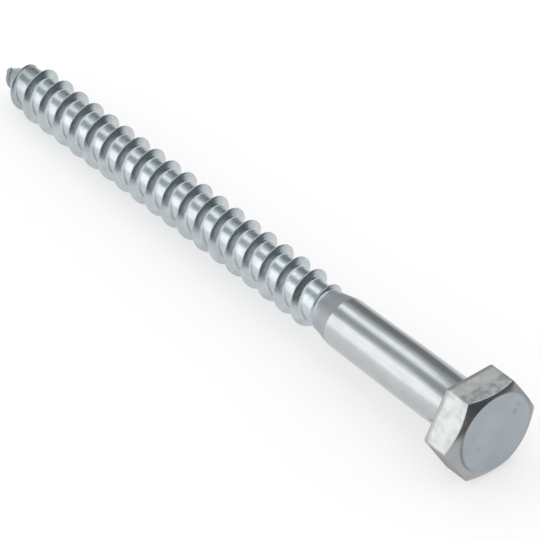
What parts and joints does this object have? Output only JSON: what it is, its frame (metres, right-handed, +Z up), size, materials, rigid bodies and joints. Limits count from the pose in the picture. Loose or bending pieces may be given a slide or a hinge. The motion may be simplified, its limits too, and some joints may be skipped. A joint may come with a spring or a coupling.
{
  "type": "lag screw",
  "caption": "Hex-head lag screw, or coach screw, lying at rest: chamfered hexagon, plain shank, neck cone and a coarse right-hand wood thread running to a gimlet point.",
  "frame": {"origin": "centre of the bounding box's bottom face, on the surface that the screw lies on", "axes": "+X along the screw from the point to the head, +Z up; the axis dips 1.73 degrees towards the point, because the screw lies on a hexagon edge and a thread crest"},
  "size_m": [0.1348, 0.0196, 0.0172],
  "materials": {
    "zinc_plated_steel": "bright zinc plate, lightly scuffed on the head"
  },
  "bodies": {
    "root": {"lag_screw": "zinc_plated_steel"}
  },
  "joints": []
}
